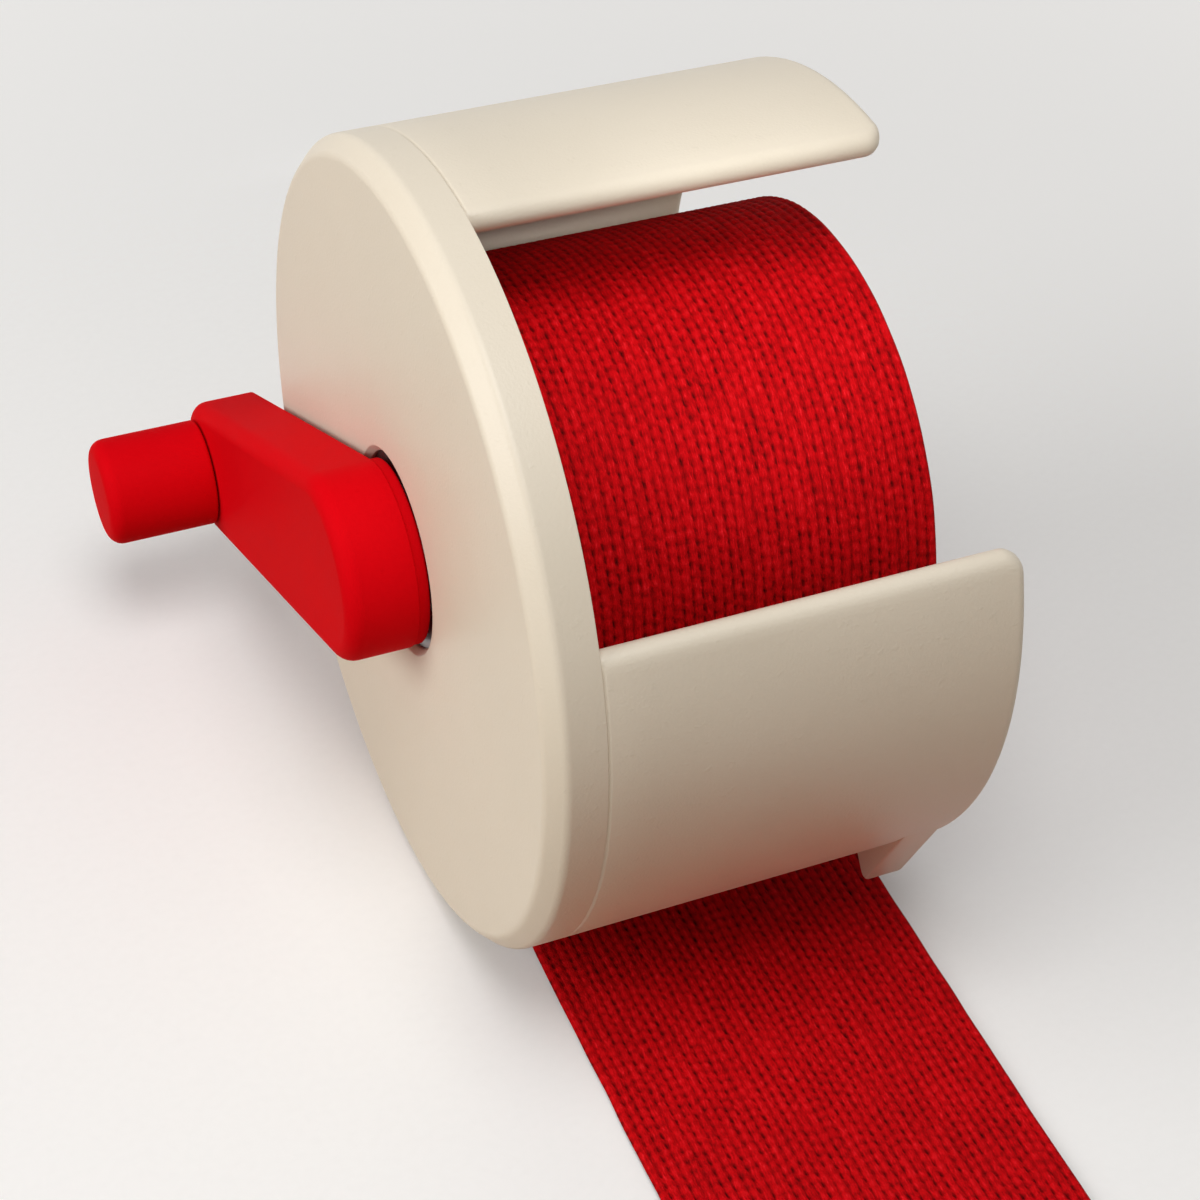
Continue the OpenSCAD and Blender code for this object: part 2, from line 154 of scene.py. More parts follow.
# %% [markdown]
# A material's pattern is arithmetic on positions. Joining Math nodes one by one hides that arithmetic,
# so this small class wraps a socket and lets Python write it: `1 - mask` adds a Subtract node.

# %% Shader maths


class Wire:
    """One output of a shader node, with operators that add Math nodes."""

    def __init__(self, tree, socket=None):
        self.tree, self.socket = tree, socket

    def node(self, kind, settings=(), sockets=(), out=0):
        """Any node: its settings are set first, then the values or links of its sockets."""
        made = self.tree.nodes.new(kind)
        for key, value in dict(settings).items():
            if key == "stops":
                ramp = made.color_ramp.elements
                ramp[0].position = value[0][0]
                ramp[1].position = value[-1][0]
                for position, _ in value[1:-1]:
                    ramp.new(position)
                for element, (_, shade) in zip(ramp, value):
                    element.color = (*shade, 1)
            else:
                setattr(made, key, value)
        for key, value in dict(sockets).items():
            if isinstance(value, Wire):
                self.tree.links.new(value.socket, made.inputs[key])
            else:
                made.inputs[key].default_value = value
        return Wire(self.tree, made.outputs[out])

    def math(self, operation, *values):
        return self.node("ShaderNodeMath", {"operation": operation}, enumerate(values))

    def __add__(self, other):
        return self.math("ADD", self, other)

    def __sub__(self, other):
        return self.math("SUBTRACT", self, other)

    def __rsub__(self, other):
        return self.math("SUBTRACT", other, self)

    def __mul__(self, other):
        return self.math("MULTIPLY", self, other)

    def __truediv__(self, other):
        return self.math("DIVIDE", self, other)

    def __rtruediv__(self, other):
        return self.math("DIVIDE", other, self)

    __radd__, __rmul__ = __add__, __mul__

    def clamp(self):
        return self.node("ShaderNodeClamp", {}, {"Value": self})

    def step(self, low, high):
        """0 below low, 1 above high, smooth between them."""
        return self.node("ShaderNodeMapRange", {"interpolation_type": "SMOOTHSTEP"},
                         {"Value": self, "From Min": low, "From Max": high})

    def shade(self, dark, light):
        """Colour between two others, which are sockets 6 and 7 of a Mix node."""
        return self.node("ShaderNodeMix", {"data_type": "RGBA"},
                         {"Factor": self, 6: (*dark, 1) if isinstance(dark, tuple) else dark,
                          7: (*light, 1) if isinstance(light, tuple) else light}, out=2)

    def noise(self, scale, detail=3, roughness=0.55):
        """Noise at a vector; scale counts its cells in one unit."""
        return self.node("ShaderNodeTexNoise", {},
                         {"Vector": self, "Scale": scale, "Detail": detail, "Roughness": roughness})

    def bump(self, strength, distance):
        return self.node("ShaderNodeBump", {},
                         {"Height": self, "Strength": strength, "Distance": distance})


finishes = {}


def finish_of(slot, plain, paint):
    """Material for a slot: plain values are set on the shader, varying ones come from paint."""
    material = bpy.data.materials.new(slot + "_finish")
    material.use_nodes = True
    tree = material.node_tree
    shader = tree.nodes["Principled BSDF"]
    for key, value in plain.items():
        shader.inputs[key].default_value = value
    for key, wire in paint(Wire(tree)).items():
        tree.links.new(wire.socket, shader.inputs[key])
    finishes[slot] = material
    print("finish:", slot, len(tree.nodes), "nodes")


print("shader maths ready")

# %% [markdown]
# Both plastics are injection moulded: an even colour, a fine spark-eroded grain that breaks the gloss,
# and a slight cloudiness where the melt flowed. The colour shifts by a few per cent only, because
# a moulded part with visible blotches would look like stone.

# %% Moulded plastics
GRAIN_CELLS = 2600
CLOUD_CELLS = 45


def moulded(dark, light, gloss, grain_depth):
    def paint(wire):
        place = wire.node("ShaderNodeTexCoord", out="Object")
        grain = place.noise(GRAIN_CELLS, 2)
        cloud = place.noise(CLOUD_CELLS, 3)
        speck = place.noise(GRAIN_CELLS / 4, 2).step(0.62, 0.74)
        tone = (cloud * 0.7 + grain * 0.3 - speck * 0.1).clamp()
        return {"Base Color": tone.shade(dark, light),
                "Roughness": gloss + (cloud - 0.5) * 0.12 + (grain - 0.5) * 0.1,
                "Normal": (grain + speck * 0.4).bump(0.5, grain_depth)}
    return paint


finish_of("drum_plastic", {"IOR": 1.5, "Specular IOR Level": 0.45},
          moulded((0.735, 0.652, 0.520), (0.815, 0.732, 0.605), 0.42, 0.00006))
finish_of("crank_plastic", {"IOR": 1.5, "Specular IOR Level": 0.012},
          moulded((0.620, 0.001, 0.004), (0.740, 0.002, 0.007), 0.6, 0.00005))

# %% [markdown]
# Metals differ by colour and by how they were worked: drawn steel has fine lines along its length,
# the bearing is ground and hardened, brass inserts are rolled, and the bush is porous sintered bronze.

# %% Metals


def worked_metal(dark, light, gloss, stretch, cells):
    def paint(wire):
        place = wire.node("ShaderNodeTexCoord", out="Object")
        drawn = wire.node("ShaderNodeVectorMath", {"operation": "MULTIPLY"}, {0: place, 1: stretch})
        lines = drawn.noise(cells, 3)
        stain = place.noise(160, 3)
        return {"Base Color": (lines * 0.6 + stain * 0.4).shade(dark, light),
                "Roughness": gloss + (lines - 0.5) * 0.16 + (stain - 0.5) * 0.1,
                "Normal": lines.bump(0.25, 0.00003)}
    return paint


finish_of("steel", {"Metallic": 1.0},
          worked_metal((0.50, 0.51, 0.53), (0.68, 0.69, 0.71), 0.3, (0.08, 1, 1), 3000))
# The bearing's steel is made darker than the other steel: painted shade for the recess of the seat it sits
# in.
finish_of("bearing_steel", {"Metallic": 1.0},
          worked_metal((0.19, 0.18, 0.18), (0.33, 0.32, 0.32), 0.34, (1, 0.2, 0.2), 2600))
finish_of("brass", {"Metallic": 1.0},
          worked_metal((0.60, 0.42, 0.15), (0.74, 0.55, 0.24), 0.32, (1, 1, 1), 2200))
finish_of("bronze", {"Metallic": 1.0},
          worked_metal((0.36, 0.20, 0.09), (0.52, 0.31, 0.15), 0.42, (1, 1, 1), 3600))

# %% [markdown]
# The wrap is a ribbed, semi-elastic cotton. Its ribs run along the strip: each is a column of stitches,
# beaded and a little hairy, with dark pinholes in the valleys between. Ribs and stitches are in the
# mesh. Every cloth mesh carries an attribute called lay: the distance across the strip, the distance
# along it, and how high the yarn stands there. The material paints shade into the valleys and pinholes
# by the last one, and paints glints of light on the ridges. It draws the fibres, which are too fine for
# a mesh, as noise stretched along the ribs.

# %% Ribbed cloth
# Colours from painted shade in the pinholes and valleys up to a painted glint on the ridges.
RIB_PAINTED_SHADE_AND_GLINT = [(0, (0.03, 0, 0)), (0.28, (0.24, 0, 0.001)),
              (0.62, (0.66, 0.001, 0.004)), (1, (0.95, 0.02, 0.03))]


def ribbed_cloth(wire):
    lay = wire.node("ShaderNodeAttribute", {"attribute_name": "lay"}, out="Vector")
    high = wire.node("ShaderNodeSeparateXYZ", {}, {0: lay}, out="Z")
    drawn = wire.node("ShaderNodeVectorMath", {"operation": "MULTIPLY"}, {0: lay, 1: (2.6, 0.5, 0)})
    fibre = drawn.noise(1500, 4, 0.72)
    hair = drawn.noise(4200, 2)
    patchy = drawn.noise(260, 2)
    # Painted highlight: bright fibre streaks on the ridges stand for glints of light.
    painted_glint = fibre.step(0.56, 0.72) * high
    # The yarn's height darkens valleys and pinholes: painted shade, on top of the fibre noise.
    yarn_with_painted_shade = high * 0.55 + (fibre - 0.5) * 0.9 + (hair - 0.5) * 0.35 + (patchy - 0.5) * 0.4
    tone = yarn_with_painted_shade + painted_glint * 0.22 + 0.1
    colour = wire.node("ShaderNodeValToRGB", {"stops": RIB_PAINTED_SHADE_AND_GLINT}, {"Fac": tone.clamp()})
    return {"Base Color": colour,
            "Roughness": 0.75 + (fibre - 0.5) * 0.3,
            "Normal": (fibre * 0.7 + hair * 0.4).bump(0.8, 0.0003)}


finish_of("wrap_cloth", {"Specular IOR Level": 0.08, "Sheen Weight": 0.1, "Sheen Roughness": 0.5,
                          "Sheen Tint": (1, 0.04, 0.04, 1)}, ribbed_cloth)

# %% [markdown]
# The thumb loop is a narrow woven tape, a shade darker than the wrap. Its twill is a slanted line
# pattern on the same lay attribute.

# %% Loop tape
WALE = 0.9 * MM


def twill_tape(wire):
    lay = wire.node("ShaderNodeAttribute", {"attribute_name": "lay"}, out="Vector")
    split = wire.node("ShaderNodeSeparateXYZ", {}, {0: lay})
    along = Wire(wire.tree, split.socket.node.outputs[1])
    fibre = lay.noise(2600, 4, 0.7)
    slant = (split + along * 0.8) / WALE + (fibre - 0.5) * 0.3
    wale = slant.math("PINGPONG", slant, 0.5) * 2
    tone = (wale * 0.55 + fibre * 0.6 - 0.1).clamp()
    return {"Base Color": tone.shade((0.10, 0.0, 0.001), (0.66, 0.001, 0.006)),
            "Roughness": 0.7 + (fibre - 0.5) * 0.25,
            "Normal": (wale + fibre * 0.5).bump(0.6, 0.0002)}


finish_of("loop_tape", {"Specular IOR Level": 0.1}, twill_tape)

# %% [markdown]
# The floor is a sheet of pale paper, large enough to fill the picture. Real paper would light the drum
# from below and flatten its shading. So a Light Path node gives the paper two tones: the camera and
# reflections see it pale, while light that bounces off it meets a darker, warmer one. For the camera it
# also glows a little, and more away from the lamps, so that it runs into the pale sky unseen.

# %% Floor and sky
PAPER_DARK, PAPER_LIGHT = (0.83, 0.82, 0.805), (0.87, 0.86, 0.845)
PAPER_BOUNCE = (0.40, 0.28, 0.16)
PAPER_GLOW = (0.56, 0.555, 0.545)
SQUARE = ((1, 1), (-1, 1), (-1, -1), (1, -1))


def seen_directly(wire):
    """1 for rays of the camera and of reflections, 0 for light that bounces."""
    camera_ray = wire.node("ShaderNodeLightPath", out="Is Camera Ray")
    rays = camera_ray.socket.node.outputs
    others = [Wire(wire.tree, rays[name]) for name in ("Is Glossy Ray", "Is Transmission Ray")]
    return (camera_ray + others[0] + others[1]).clamp()


def paper(wire):
    place = wire.node("ShaderNodeTexCoord", out="Object")
    fibre = place.noise(700, 3)
    seen = seen_directly(wire)
    pale = fibre.shade(PAPER_DARK, PAPER_LIGHT)
    away = wire.node("ShaderNodeVectorMath", {"operation": "LENGTH"}, {0: place}, out="Value")
    glow = (away.step(0.05, 0.6) * 0.8 + 0.2) * seen
    return {"Base Color": seen.shade(PAPER_BOUNCE, pale),
            "Emission Color": glow.shade((0, 0, 0), PAPER_GLOW),
            "Normal": fibre.bump(0.1, 0.00005)}


finish_of("floor_paper", {"Roughness": 0.85, "Specular IOR Level": 0.2, "Emission Strength": 1.0}, paper)
floor_half, floor_z = 3.0, -0.0001
floor_mesh = bpy.data.meshes.new("floor")
floor_corners = [(x * floor_half, y * floor_half, floor_z) for x, y in SQUARE]
floor_mesh.from_pydata(floor_corners, [], [(0, 1, 2, 3)])
floor_mesh.materials.append(finishes["floor_paper"])
floor = bpy.data.objects.new("floor", floor_mesh)
scene.collection.objects.link(floor)
floor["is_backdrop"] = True
world = bpy.data.worlds.new("sky")
world.use_nodes = True
sky = world.node_tree.nodes["Background"]
sky.inputs["Color"].default_value = (1, 0.99, 0.975, 1)
strength = seen_directly(Wire(world.node_tree)) * 0.5 + 0.27
world.node_tree.links.new(strength.socket, sky.inputs["Strength"])
scene.world = world
print("floor", 2 * floor_half, "m square, and a pale sky")

# %% [markdown]
# Nearly every piece here is a section that moves along a path: round the axis for the disc, along the
# spindle for the shells, along the cloth for the wrap. So one helper, skin, covers rows of points with
# faces, and another puts the mesh on its CAD body in place of the plain solid.

# %% Mesh helpers
WELD = 0.000002


def skin(name, rows, ring=False, lay=None, sharp=32):
    """Mesh over rows of closed loops. A ring joins its last row to its first, anything else is capped."""
    count, points = len(rows[0]), [p for row in rows for p in row]
    faces = []
    for i in range(len(rows) if ring else len(rows) - 1):
        here, there = i * count, (i + 1) % len(rows) * count
        for j in range(count):
            k = (j + 1) % count
            faces.append((here + j, here + k, there + k, there + j))
    if not ring:
        faces.append(tuple(range(count))[::-1])
        faces.append(tuple(len(points) - count + j for j in range(count)))
    mesh = bpy.data.meshes.new(name)
    mesh.from_pydata(points, [], faces)
    if lay:
        mesh.attributes.new("lay", "FLOAT_VECTOR", "POINT").data.foreach_set(
            "vector", [c for spot in lay for c in spot])
    work = bmesh.new()
    work.from_mesh(mesh)
    bmesh.ops.remove_doubles(work, verts=work.verts, dist=WELD)
    bmesh.ops.recalc_face_normals(work, faces=work.faces)
    work.to_mesh(mesh)
    work.free()
    mesh.shade_smooth()
    mesh.set_sharp_from_angle(angle=math.radians(sharp))
    return mesh


def shown(name, mesh):
    made = bpy.data.objects.new(name, mesh)
    scene.collection.objects.link(made)
    return made


def dressed(name, meshes, body, slot, *nodes):
    """One piece from one or more meshes, on its CAD body, in place of the nodes it stands for."""
    work = bmesh.new()
    for mesh in meshes:
        work.from_mesh(mesh)
    whole = bpy.data.meshes.new(name)
    work.to_mesh(whole)
    work.free()
    whole.materials.append(finishes[slot])
    made = shown(name, whole)
    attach(made, body)
    if nodes:
        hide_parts(*nodes)
    print(f"{name}: {len(whole.vertices)} points on {body}")
    return made


def rounded(corners, steps=6):
    """Closed outline from corners (a, b, radius)."""
    outline = []
    for i, (a, b, radius) in enumerate(corners):
        here = Vector((a, b))
        if not radius:
            outline.append(here)
            continue
        before = (Vector(corners[i - 1][:2]) - here).normalized()
        after = (Vector(corners[(i + 1) % len(corners)][:2]) - here).normalized()
        half = before.angle(after) / 2
        middle = here + (before + after).normalized() * radius / math.sin(half)
        start = here + before * radius / math.tan(half) - middle
        end = here + after * radius / math.tan(half) - middle
        outline += [middle + start.slerp(end, k / steps) * radius for k in range(steps + 1)]
    return outline


def lathe(name, outline, centre=(0.0, None), steps=160):
    """Ring from an outline of (x, radius), round the spindle or round another centre."""
    y, z = centre[0], axis_z if centre[1] is None else centre[1]
    rows = []
    for i in range(steps):
        turn = 2 * math.pi * i / steps
        rows.append([Vector((x, y + r * math.cos(turn), max(z + r * math.sin(turn), 0)))
                     for x, r in outline])
    return skin(name, rows, ring=True)


print("mesh helpers ready")

# %% [markdown]
# The end disc carries everything. Its outer face runs into a soft bevel, its rim is straight, and a fine
# groove shows where the shells are screwed on. The bearing sits in a stepped hole in its middle.

# %% End disc
bevel, bevel_round, disc_seam = 2.2 * MM, 1.6 * MM, 0.05 * MM
bearing_r, mouth, mouth_round = 13.02 * MM, 0.8 * MM, 0.3 * MM
lip_r, lip_t, lip_round, seat_round = 11.6 * MM, 1.0 * MM, 0.2 * MM, 0.1 * MM
seat_end = back_x - lip_t
disc_outline = rounded([
    (face_x, bearing_r + mouth, mouth_round),
    (face_x, disc_r - bevel, bevel_round),
    (face_x + bevel, disc_r, bevel_round),
    (back_x - disc_seam, disc_r, 0),
    (back_x, disc_r - disc_seam, 0),
    (back_x, lip_r, lip_round),
    (seat_end, lip_r, seat_round),
    (seat_end, bearing_r, 0),
    (face_x + mouth, bearing_r, mouth_round)])
disc = lathe("drum_disc", disc_outline, steps=224)
dressed("drum_disc", [disc], "housing", "drum_plastic", "end_disc")

# %% [markdown]
# The two shells are parts of one tube wall with full round edges, as a mould maker likes them. Each is
# lofted along the spindle: a section is an arc with thickness, and near the open end the sections
# shrink a little, which rounds the end and its corners. A sheet with a Solidify modifier would be
# quicker, but its edges would be square.

# %% Drum shells
rear_edges, front_edges = (-94, 95), (158, 234)
seam_in, seam_out, seam_gap = 0.26 * MM, 0.55 * MM, 0.02 * MM
knee_in, knee_out = 0.15 * seam_in, 0.65 * seam_out
corner_r, end_round, edge_short = 2.8 * MM, 1.2 * MM, 0.2 * MM
edge_tip = math.degrees((shell_t / 2 - edge_short) / shell_mid)


def arc_section(first, last, inner, outer, x, steps=64, nose=7):
    """Arc with thickness and round edges; first and last are the angles of its tips."""
    middle, half = (inner + outer) / 2, (outer - inner) / 2
    tip = math.degrees(half / middle)
    start, end = first + tip, last - tip
    loop = [(start + (end - start) * i / steps, outer) for i in range(steps + 1)]
    for k in range(1, nose):
        turn = math.pi * k / nose
        loop.append((end + tip * math.sin(turn), middle + half * math.cos(turn)))
    loop += [(end + (start - end) * i / steps, inner) for i in range(steps + 1)]
    for k in range(1, nose):
        turn = math.pi * k / nose
        loop.append((start - tip * math.sin(turn), middle - half * math.cos(turn)))
    return [ring_point(angle, radius, x) for angle, radius in loop]


def shell_wall(name, first, last):
    """Wall from angle to angle, from the disc to the open end."""
    first, last = first - edge_tip, last + edge_tip
    plain_start, plain_end = back_x + seam_out, shell_far - corner_r
    rows = [arc_section(first, last, shell_in, disc_r - seam_in, back_x + seam_gap),
            arc_section(first, last, shell_in, disc_r - knee_in, back_x + knee_out)]
    plain_steps, corner_steps = 10, 14
    for i in range(plain_steps + 1):
        x = plain_start + (plain_end - plain_start) * i / plain_steps
        rows.append(arc_section(first, last, shell_in, disc_r, x))
    for i in range(1, corner_steps + 1):
        lean = math.pi / 2 * i / corner_steps
        x = plain_end + corner_r * math.sin(lean)
        pulled = math.degrees(corner_r * (1 - math.cos(lean)) / shell_mid)
        into = max(0, x - (shell_far - end_round))
        thin = end_round - math.sqrt(max(end_round ** 2 - into ** 2, 0))
        rows.append(arc_section(first + pulled, last - pulled, shell_in + thin, disc_r - thin, x))
    return skin(name, rows)


rear_mesh = shell_wall("rear_wall", *rear_edges)
front_mesh = shell_wall("front_wall", *front_edges)
print("shell walls:", len(rear_mesh.vertices), "and", len(front_mesh.vertices), "points")

# %% [markdown]
# Inside each shell, small ears take the screws that hold it to the disc. They are short arcs with
# a rounded inner edge. At the far lower corner of the front shell, a tangential lug guides the cloth.

# %% Screw ears and guide lug
rear_ears, front_ears = (60, -5, -65), (178, 214)
ear_h, ear_t, ear_half, ear_gap = 9 * MM, 3 * MM, 9, 0.1 * MM
foot_round, edge_round = 0.3 * MM, 0.7 * MM


def ear(angle, steps=8):
    inner = shell_in - ear_h
    section = rounded([(back_x + ear_gap, inner, foot_round), (back_x + ear_t, inner, edge_round),
                       (back_x + ear_t, shell_mid, 0), (back_x + ear_gap, shell_mid, 0)], 4)
    angles = [angle - ear_half + 2 * ear_half * i / steps for i in range(steps + 1)]
    return skin("ear", [[ring_point(a, r, x) for x, r in section] for a in angles])


def guide_lug():
    start, end, wide, soft, from_end = 206, 231, 5.5 * MM, 0.5 * MM, 2 * MM
    tip_r = disc_r / math.cos(math.radians(end - start))
    tip_round, root_round = 0.9 * MM, 0.3 * MM
    corners = [(start, shell_mid, 0), (start, disc_r - shell_t / 8, 0),
               (end, tip_r, tip_round), (end, shell_mid, root_round)]
    side = [(*ring_point(angle, radius, 0).yz, soften) for angle, radius, soften in corners]
    outline = [Vector((0, y, z)) for y, z in rounded(side, 5)]
    middle = sum(outline, Vector()) / len(outline)
    far = shell_far - from_end
    near = far - wide
    rows = []
    for x, scale in ((near, 0.93), (near + soft / 3, 0.98), (near + soft, 1),
                     (far - soft, 1), (far - soft / 3, 0.98), (far, 0.93)):
        rows.append([middle + (p - middle) * scale + Vector((x, 0, 0)) for p in outline])
    return skin("lug", rows)


dressed("rear_wall", [rear_mesh] + [ear(angle) for angle in rear_ears],
        "housing", "drum_plastic", "rear_shell")
dressed("front_wall", [front_mesh, guide_lug()] + [ear(angle) for angle in front_ears],
        "housing", "drum_plastic", "front_shell")

# %% [markdown]
# The bearing, the fork, its hub and the fasteners are plain pieces, and the CAD solids already have
# their shape. They only need their finishes.

# %% Plain pieces from the CAD model
plain_pieces = {
    "steel": ("shell_screws", "prong_upper", "prong_lower", "crank_screw", "knob_pin", "knob_clip"),
    "bearing_steel": ("bearing_outer_ring", "bearing_inner_ring", "bearing_balls",
                      "bearing_shield_outer", "bearing_shield_inner"),
    "brass": ("disc_inserts", "crank_insert"),
    "bronze": ("bearing_cage", "knob_bush"),
    "crank_plastic": ("spindle_hub",),
}
for finish, names in plain_pieces.items():
    for node in names:
        mesh = frame["nodes"][node].data
        mesh.materials.clear()
        mesh.materials.append(finishes[finish])
print("finishes on", sum(len(names) for names in plain_pieces.values()), "CAD nodes")

# %% [markdown]
# The crank arm is a flat bar between two circles of different size, with edges rounded as by a file.
# An outline set in by some amount is the same outline with smaller circles, so the rounding is just
# a few outlines at growing depth. A Boolean then cuts the bush hole and the clip's pocket at the back.

# %% Crank arm
hub_r, end_r, arm_round, back_round = 12.4 * MM, 10 * MM, 2.3 * MM, 0.25 * MM
crank_gap = 1 * MM
arm_back = face_x - crank_gap
arm_run = Vector((knob_y, knob_z - axis_z))
arm_turn = math.atan2(arm_run.y, arm_run.x)
arm_lean = math.acos((hub_r - end_r) / arm_run.length)


def arm_loop(inset, x, steps=40):
    loop = []
    for centre, radius, first, last in ((arm_run, end_r, -arm_lean, arm_lean),
                                        (Vector((0, 0)), hub_r, arm_lean, 2 * math.pi - arm_lean)):
        for i in range(steps + 1):
            turn = arm_turn + first + (last - first) * i / steps
            loop.append(Vector((x, centre.x + (radius - inset) * math.cos(turn),
                                axis_z + centre.y + (radius - inset) * math.sin(turn))))
    return loop


edge_steps = 7
edge_turns = [math.pi / 2 * i / edge_steps for i in range(edge_steps + 1)]
arm_rows = [arm_loop(arm_round * (1 - math.sin(t)), arm_front + arm_round * (1 - math.cos(t)))
            for t in edge_turns]
arm_rows += [arm_loop(back_round * (1 - math.cos(t)), arm_back - back_round * (1 - math.sin(t)))
             for t in edge_turns]
arm = shown("arm", skin("arm", arm_rows))
bush_r, clip_r, pocket_depth, spare = 4.27 * MM, 5.1 * MM, 1.6 * MM, 2 * MM
pocket_x = arm_back - pocket_depth
cut_start, cut_end = arm_front - spare, arm_back + spare
cutter = shown("cutter", lathe("cutter", [
    (cut_start, 0), (cut_start, bush_r), (pocket_x, bush_r),
    (pocket_x, clip_r), (cut_end, clip_r), (cut_end, 0)], (knob_y, knob_z), 64))
cut = arm.modifiers.new("pocket", "BOOLEAN")
cut.object, cut.solver = cutter, "EXACT"
arm_mesh = bpy.data.meshes.new_from_object(arm.evaluated_get(bpy.context.evaluated_depsgraph_get()))
bpy.data.objects.remove(arm)
bpy.data.objects.remove(cutter)
print("arm of", len(arm_mesh.vertices), "points")

# %% [markdown]
# On the hub's back a collar reaches into the mouth of the bearing seat, with a smaller boss behind it.
# Both are turned. A Weighted Normal modifier then keeps the crank's flat faces flat beside its rounds.

# %% Collar and boss of the crank
collar_r, collar_round, boss_r, boss_round = 12.2 * MM, 0.3 * MM, 9.6 * MM, 0.2 * MM
collar_start, collar_end, boss_end = arm_back - 1 * MM, face_x + 0.4 * MM, face_x + 1.2 * MM
boss = lathe("boss", rounded([
    (collar_start, 0, 0), (collar_start, collar_r, 0), (collar_end, collar_r, collar_round),
    (collar_end, boss_r, 0), (boss_end, boss_r, boss_round), (boss_end, 0, 0)], 4), steps=96)
crank = dressed("crank_bar", [arm_mesh, boss], "spindle", "crank_plastic", "crank_arm")
crank.modifiers.new("flat faces", "WEIGHTED_NORMAL").keep_sharp = True

# %% [markdown]
# The knob is a short turned grip that spins on its pin. Its free end is rounded more than its foot.

# %% Knob
knob_r, knob_gap, knob_soft, knob_round = 7.8 * MM, 0.2 * MM, 0.5 * MM, 2.1 * MM
knob_foot = arm_front - knob_gap
knob_outline = rounded([(knob_foot, 0, 0), (knob_foot, knob_r, knob_soft),
                        (knob_far, knob_r, knob_round), (knob_far, 0, 0)], 7)
grip = lathe("knob_grip", knob_outline, (knob_y, knob_z), 96)
dressed("knob_grip", [grip], "knob", "crank_plastic", "crank_knob")

# %% [markdown]
# The wrap is one strip, some four metres long, and its outer turn and its tail are what the eye sees
# of it. A Displace modifier could press a pattern into a plain strip, but then the material wouldn't
# know where a stitch is. So a function says how high the yarn stands at any place on the strip.
# Neighbouring ribs are shifted by half a stitch, and some noise keeps them from being all alike.

# %% Knitted relief
STITCH = 1.65 * MM
stitch_row = STITCH / 4
rib_depth = 0.36 * MM
VALLEY, BEAD, PINHOLE = 0.64, 0.3, 0.75


def knitted(across, along):
    """How high the yarn stands, from 0 in a pinhole to 1 on a stitch."""
    ribs, stitches = across / rib_pitch, along / STITCH
    rib, valley = math.floor(ribs), round(ribs)
    off_ridge = 2 * abs(ribs - rib - 0.5)
    slip = 0.45 * noise.noise((3.7 * rib, stitches / 4, 0.5))
    stitch = abs(math.sin(math.pi * (stitches + 0.5 * (rib % 2) + slip)))
    ridge = math.sqrt(1 - VALLEY * off_ridge ** 2) * (1 - BEAD + BEAD * stitch)
    gap = math.cos(math.pi * (stitches + 0.5 * (valley % 2) + slip)) ** 4
    luck = 0.5 + noise.noise((5.3 * valley, stitches / 2, 9.5))
    return min(max(ridge - PINHOLE * gap * luck * off_ridge ** 4, 0), 1)


def fine_ribs(across, along):
    """Even ribs of the narrow tape."""
    return 0.85 + 0.15 * math.cos(2 * math.pi * across / MM)


def smooth(across, along):
    """Plain face, for turns that the outer one hides."""
    return 0.8


print(f"{wrap_w / rib_pitch:.0f} ribs, a stitch every {STITCH / MM:.2f} mm")

# %% [markdown]
# Every stretch of the wrap is then a row of the same section: ribbed above, plain below, with soft
# edges that waver a little. A row is a closed loop, and skin covers the rows along the strip.

# %% Rows of cloth
edge_soft, edge_waver = 0.55 * MM, 0.14 * MM
waver_across, waver_along = 2.5 * MM, 7 * MM


def cloth_row(along, face=knitted, width=wrap_w, columns=4 * rib_count, under=12):
    """Loop of (across, height, relief) round the strip; height is measured from its middle."""
    half = wrap_t / 2
    loop = []
    for j in range(columns + 1):
        across = width * j / columns
        high = face(across, along)
        loop.append((across, half - rib_depth * (1 - high), high))
    loop += [(width * (1 - j / under), -half, 0.5) for j in range(1, under)]
    eased = []
    for across, height, high in loop:
        inside = min(min(across, width - across) / edge_soft, 1)
        waver = edge_waver * noise.noise((across / waver_across, along / waver_along, 3.3))
        eased.append((across + waver, height * math.sqrt(1 - (1 - inside) ** 2), high))
    return eased


def sewn(name, rows, lay, body, slot, node, sharp=70):
    """Cloth piece over rows; lay says where on its strip each point is."""
    return dressed(name, [skin(name, rows, lay=lay, sharp=sharp)], body, slot, node)


print("a row of the wrap has", len(cloth_row(0)), "points")

# %% [markdown]
# The inner layers of the roll are wound tight. From the open end their edges show as a spiral, never
# quite level, because nobody winds a wrap that straight. Seeded random numbers move each turn a little.

# %% Inner layers of the roll
random.seed(7)
layer_pitch, layer_gap = wrap_t, 0.05 * MM
layer_t = layer_pitch - layer_gap
layer_turns = (core_r - bore_r - layer_t) / layer_pitch
layer_steps, draws = 56, 3
level = [random.uniform(0, 0.45) * MM for _ in range(int(layer_turns * draws) + draws)]


def drift(turn):
    """How far a turn stands out to the side."""
    at = max(turn, 0) * draws
    low = int(at)
    share = (at - low) ** 2 * (3 - 2 * (at - low))
    return level[low] * (1 - share) + level[low + 1] * share


